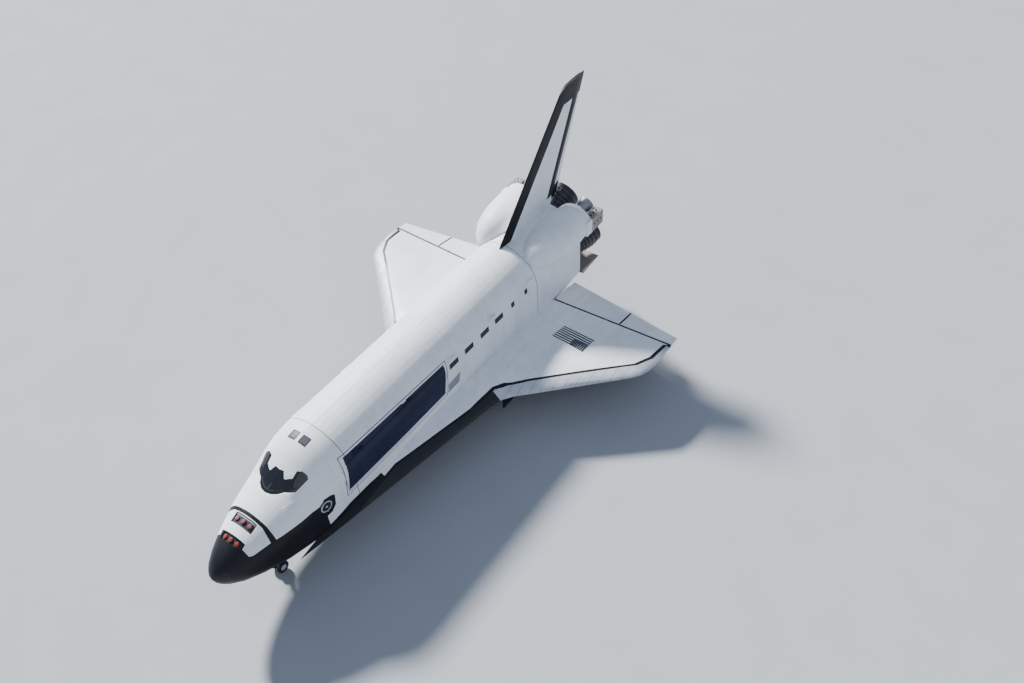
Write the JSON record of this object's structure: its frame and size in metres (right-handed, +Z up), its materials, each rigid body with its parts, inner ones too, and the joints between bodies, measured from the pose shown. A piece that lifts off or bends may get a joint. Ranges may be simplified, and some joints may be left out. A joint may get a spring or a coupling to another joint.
{
  "type": "winged space shuttle orbiter exhibit",
  "caption": "Winged reusable spacecraft parked on its landing gear, with opening payload bay doors, side hatch, elevons, split rudder, body flap and steerable nose wheels.",
  "frame": {"origin": "centre of the overall box in plan, on the ground under the tyres", "axes": "+X towards the nose, +Y to port, +Z up"},
  "size_m": [37.2369, 23.802, 16.281],
  "materials": {
    "white_skin": "satin white paint, weathered",
    "black_skin": "matt black paint",
    "edge_panel": "pale grey paint",
    "window_glass": "dark tinted pane",
    "engine_metal": "heat-stained metal",
    "gear_metal": "light grey enamel",
    "tyre": "worn black rubber",
    "sign_board": "navy sheet with a pale frame",
    "thruster_panel": "matt dark paint",
    "flap_panel": "faded brown-grey paint",
    "red_cover": "red fabric-covered disc"
  },
  "bodies": {
    "orbiter": {"nose_cap": "black_skin", "thruster_module": "white_skin", "nose_section": "white_skin", "cabin_lower": "white_skin", "cabin_upper": "white_skin", "windshield": "window_glass", "overhead_window_left": "window_glass", "overhead_window_right": "window_glass", "thruster_panel_front": "thruster_panel", "thruster_panel_rear": "thruster_panel", "middle_fuselage": "white_skin", "sill_longeron_left": "edge_panel", "sill_longeron_right": "edge_panel", "sign_board": "sign_board", "wing_left": "white_skin", "wing_right": "white_skin", "wing_leading_edge_left": "edge_panel", "wing_leading_edge_right": "edge_panel", "main_gear_door_left": "black_skin", "main_gear_door_right": "black_skin", "aft_fuselage": "white_skin", "main_nozzle_upper": "engine_metal", "main_nozzle_left": "engine_metal", "main_nozzle_right": "engine_metal", "engine_pod_left": "white_skin", "engine_pod_right": "white_skin", "pod_nozzle_left": "engine_metal", "pod_nozzle_right": "engine_metal", "vertical_fin": "white_skin", "nose_leg": "gear_metal", "nose_gear_door_left": "black_skin", "nose_gear_door_right": "black_skin", "main_leg_left": "gear_metal", "main_leg_right": "gear_metal", "main_piston_left": "gear_metal", "main_piston_right": "gear_metal"},
    "crew_hatch": {"crew_hatch": "black_skin"},
    "payload_door_left": {"payload_door_left": "white_skin"},
    "payload_door_right": {"payload_door_right": "white_skin"},
    "elevon_inboard_left": {"elevon_inboard_left": "white_skin"},
    "elevon_inboard_right": {"elevon_inboard_right": "white_skin"},
    "elevon_outboard_left": {"elevon_outboard_left": "white_skin"},
    "elevon_outboard_right": {"elevon_outboard_right": "white_skin"},
    "body_flap": {"body_flap": "flap_panel"},
    "rudder": {"rudder_post": "gear_metal"},
    "speedbrake_left": {"rudder_panel_left": "white_skin"},
    "speedbrake_right": {"rudder_panel_right": "white_skin"},
    "nose_steering": {"nose_steering_piston": "gear_metal"},
    "nose_wheels": {"nose_wheel_rims": "gear_metal", "nose_tyre_left": "tyre", "nose_tyre_right": "tyre"},
    "main_wheels_left": {"main_wheel_rims_left": "gear_metal", "main_tyre_inner_left": "tyre", "main_tyre_outer_left": "tyre"},
    "main_wheels_right": {"main_wheel_rims_right": "gear_metal", "main_tyre_inner_right": "tyre", "main_tyre_outer_right": "tyre"}
  },
  "joints": [
    {"name": "hatch_hinge", "type": "hinge", "parent": "orbiter", "child": "crew_hatch", "pos_m": [12.1185, 2.607, 4.5], "axis": [-1, 0, 0], "range_deg": [0, 90]},
    {"name": "payload_door_left_hinge", "type": "hinge", "parent": "orbiter", "child": "payload_door_left", "pos_m": [0.6, 2.491, 6.7], "axis": [-1, 0, 0], "range_deg": [0, 175.5]},
    {"name": "payload_door_right_hinge", "type": "hinge", "parent": "orbiter", "child": "payload_door_right", "pos_m": [0.6, -2.491, 6.7], "axis": [1, 0, 0], "range_deg": [0, 175.5]},
    {"name": "elevon_inboard_left_hinge", "type": "hinge", "parent": "orbiter", "child": "elevon_inboard_left", "pos_m": [-10.6165, 2.667, 2.845], "axis": [0, 0.9982, 0.0605], "range_deg": [-20, 35]},
    {"name": "elevon_inboard_right_hinge", "type": "hinge", "parent": "orbiter", "child": "elevon_inboard_right", "pos_m": [-10.6165, -2.667, 2.845], "axis": [0, 0.9982, -0.0605], "range_deg": [-20, 35]},
    {"name": "elevon_outboard_left_hinge", "type": "hinge", "parent": "orbiter", "child": "elevon_outboard_left", "pos_m": [-10.6165, 2.667, 2.845], "axis": [0, 0.9982, 0.0605], "range_deg": [-20, 35]},
    {"name": "elevon_outboard_right_hinge", "type": "hinge", "parent": "orbiter", "child": "elevon_outboard_right", "pos_m": [-10.6165, -2.667, 2.845], "axis": [0, 0.9982, -0.0605], "range_deg": [-20, 35]},
    {"name": "body_flap_hinge", "type": "hinge", "parent": "orbiter", "child": "body_flap", "pos_m": [-14.3315, 0, 2.96], "axis": [0, 1, 0], "range_deg": [-22.5, 11.7]},
    {"name": "rudder_hinge", "type": "hinge", "parent": "orbiter", "child": "rudder", "pos_m": [-13.9615, 0, 9.3], "axis": [-0.4985, 0, 0.8669], "range_deg": [-27.1, 27.1]},
    {"name": "speedbrake_left_hinge", "type": "hinge", "parent": "rudder", "child": "speedbrake_left", "pos_m": [-13.9615, 0, 9.3], "axis": [0.4985, 0, -0.8669], "range_deg": [0, 49.3]},
    {"name": "speedbrake_right_hinge", "type": "hinge", "parent": "rudder", "child": "speedbrake_right", "pos_m": [-13.9615, 0, 9.3], "axis": [-0.4985, 0, 0.8669], "range_deg": [0, 49.3]},
    {"name": "nose_steering_axis", "type": "hinge", "parent": "orbiter", "child": "nose_steering", "pos_m": [14.8335, 0, 1], "axis": [0, 0, 1], "range_deg": [-10, 10]},
    {"name": "nose_wheel_spin", "type": "hinge", "parent": "nose_steering", "child": "nose_wheels", "pos_m": [14.8335, 0, 0.406], "axis": [0, 1, 0], "continuous": true},
    {"name": "main_wheel_left_spin", "type": "hinge", "parent": "orbiter", "child": "main_wheels_left", "pos_m": [-5.1555, 3.454, 0.565], "axis": [0, 1, 0], "continuous": true},
    {"name": "main_wheel_right_spin", "type": "hinge", "parent": "orbiter", "child": "main_wheels_right", "pos_m": [-5.1555, -3.454, 0.565], "axis": [0, 1, 0], "continuous": true}
  ],
  "couplings": [
    {"joint": "speedbrake_right_hinge", "follows": "speedbrake_left_hinge", "ratio": 1}
  ]
}
